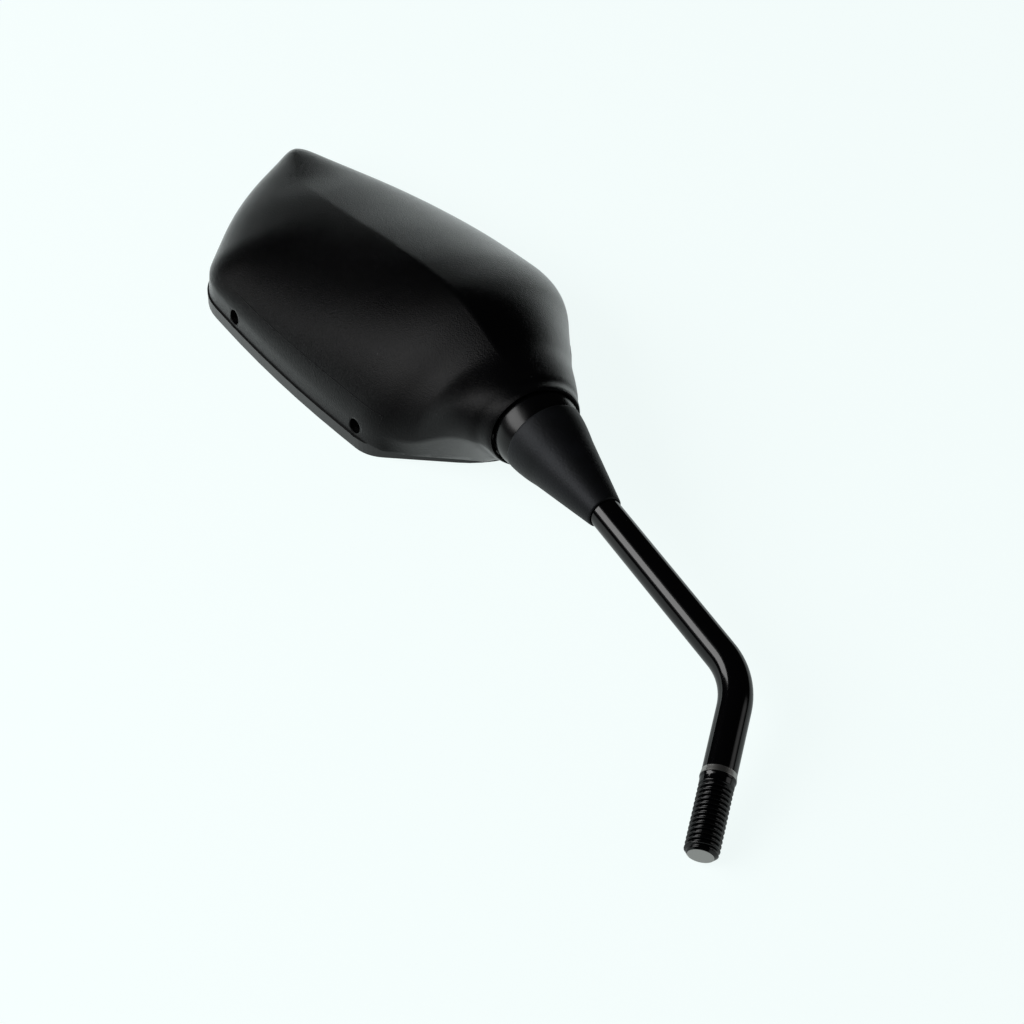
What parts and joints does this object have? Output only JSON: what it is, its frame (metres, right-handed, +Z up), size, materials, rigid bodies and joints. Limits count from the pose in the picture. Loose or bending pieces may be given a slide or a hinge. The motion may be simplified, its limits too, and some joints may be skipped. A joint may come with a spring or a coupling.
{
  "type": "motorcycle mirror",
  "caption": "Motorcycle rear-view mirror: six-sided moulded shell with convex glass on a sprung ball joint, with dust dome, boot and a bent round stem that ends in a thread.",
  "frame": {"origin": "on the stem's axis at the top of its thread, where the run-out starts", "axes": "+Z up along the threaded end of the stem, +X towards the side to which the stem bends, +Y towards the back of the head"},
  "size_m": [0.2208, 0.0614, 0.2681],
  "materials": {
    "stem_lacquer": "gloss black lacquer on steel rod",
    "plain_steel": "plain oiled steel",
    "dome_gloss": "polished black plastic",
    "boot_rubber": "matte moulded rubber",
    "ring_rubber": "smooth rubber",
    "seat_acetal": "smooth acetal",
    "socket_nylon": "glass-filled nylon",
    "zinc_steel": "zinc-plated steel",
    "housing_grain": "fine moulded grain",
    "holder_plastic": "satin moulded plastic",
    "foam": "adhesive foam",
    "mirror_glass": "silvered convex glass"
  },
  "bodies": {
    "stem": {"stem": "stem_lacquer", "stem_ball": "plain_steel", "dust_dome": "dome_gloss", "boot": "boot_rubber", "grip_ring": "ring_rubber"},
    "ring": {"seat_ring": "seat_acetal"},
    "cup": {"seat_cup": "seat_acetal"},
    "head": {"ball_socket": "socket_nylon", "socket_screws": "zinc_steel", "socket_washers": "zinc_steel", "pressure_pad": "socket_nylon", "joint_spring": "plain_steel", "spring_plate": "zinc_steel", "retaining_ring": "plain_steel", "housing": "housing_grain", "glass_holder": "holder_plastic", "holder_screws": "zinc_steel", "foam_pad": "foam", "mirror_glass": "mirror_glass"}
  },
  "joints": [
    {"name": "head_spin", "type": "hinge", "parent": "stem", "child": "ring", "pos_m": [0.0792, 0, 0.114], "axis": [0.7071, 0, 0.7071], "continuous": true},
    {"name": "head_lift", "type": "hinge", "parent": "ring", "child": "cup", "pos_m": [0.0792, 0, 0.114], "axis": [0, 1, 0], "range_deg": [-6.9, 18.1]},
    {"name": "head_swing", "type": "hinge", "parent": "cup", "child": "head", "pos_m": [0.0792, 0, 0.114], "axis": [-0.7071, 0, 0.7071], "range_deg": [-4.9, 20.1]}
  ]
}
